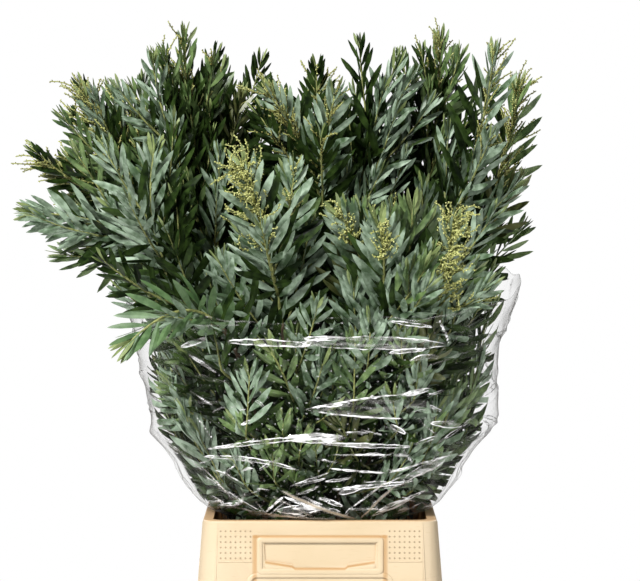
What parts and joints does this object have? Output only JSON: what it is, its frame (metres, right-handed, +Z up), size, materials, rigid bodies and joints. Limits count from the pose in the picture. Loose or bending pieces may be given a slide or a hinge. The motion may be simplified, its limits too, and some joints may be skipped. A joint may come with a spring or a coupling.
{
  "type": "cut wattle bunch in a flower container",
  "caption": "Bunch of cut green wattle sprays with narrow leaves and yellow-green buds, in a clear film sleeve, standing in a tapered plastic flower container.",
  "frame": {"origin": "the middle of the container's flat underside", "axes": "+Z up, along the bunch; -Y towards the front, where the container's short side has the card holder; +X to the right as seen from the front"},
  "size_m": [0.6678, 0.5589, 0.949],
  "materials": {
    "container_plastic": "satin moulded plastic",
    "clear_film": "clear glossy film",
    "stem_bark": "matt bark",
    "grey_green_leaf": "matt leaf",
    "budded_leaf": "matt leaf with buds",
    "fresh_leaf": "satin young leaf"
  },
  "bodies": {
    "root": {"flower_container": "container_plastic", "clear_film_sleeve": "clear_film", "stem_tall_left": "stem_bark", "spray_tall_left": "grey_green_leaf", "stem_left_crest": "stem_bark", "spray_left_crest": "grey_green_leaf", "stem_left_shoulder": "stem_bark", "spray_left_shoulder": "grey_green_leaf", "stem_left_brow": "stem_bark", "spray_left_brow": "grey_green_leaf", "stem_left_saddle": "stem_bark", "spray_left_saddle": "grey_green_leaf", "stem_far_left_buds": "stem_bark", "spray_far_left_buds": "budded_leaf", "stem_far_left": "stem_bark", "spray_far_left": "grey_green_leaf", "stem_low_left": "stem_bark", "spray_low_left": "grey_green_leaf", "stem_centre_left": "stem_bark", "spray_centre_left": "budded_leaf", "stem_centre_back": "stem_bark", "spray_centre_back": "budded_leaf", "stem_centre_right": "stem_bark", "spray_centre_right": "grey_green_leaf", "stem_right_crest": "stem_bark", "spray_right_crest": "grey_green_leaf", "stem_tall_right": "stem_bark", "spray_tall_right": "budded_leaf", "stem_far_right": "stem_bark", "spray_far_right": "budded_leaf", "stem_front_left": "stem_bark", "spray_front_left": "grey_green_leaf", "stem_front_left_buds": "stem_bark", "spray_front_left_buds": "budded_leaf", "stem_front_middle_buds": "stem_bark", "spray_front_middle_buds": "budded_leaf", "stem_front_middle": "stem_bark", "spray_front_middle": "grey_green_leaf", "stem_front_right": "stem_bark", "spray_front_right": "grey_green_leaf", "stem_front_right_buds": "stem_bark", "spray_front_right_buds": "budded_leaf", "stem_draped_left": "stem_bark", "spray_draped_left": "fresh_leaf", "stem_sleeved_right": "stem_bark", "spray_sleeved_right": "grey_green_leaf", "stem_sleeved_left": "stem_bark", "spray_sleeved_left": "grey_green_leaf", "stem_sleeved_front": "stem_bark", "spray_sleeved_front": "grey_green_leaf", "stem_back_left": "stem_bark", "spray_back_left": "grey_green_leaf", "stem_back_middle": "stem_bark", "spray_back_middle": "budded_leaf", "stem_back_right": "stem_bark", "spray_back_right": "grey_green_leaf", "stem_sleeved_back": "stem_bark", "spray_sleeved_back": "grey_green_leaf"}
  },
  "joints": []
}
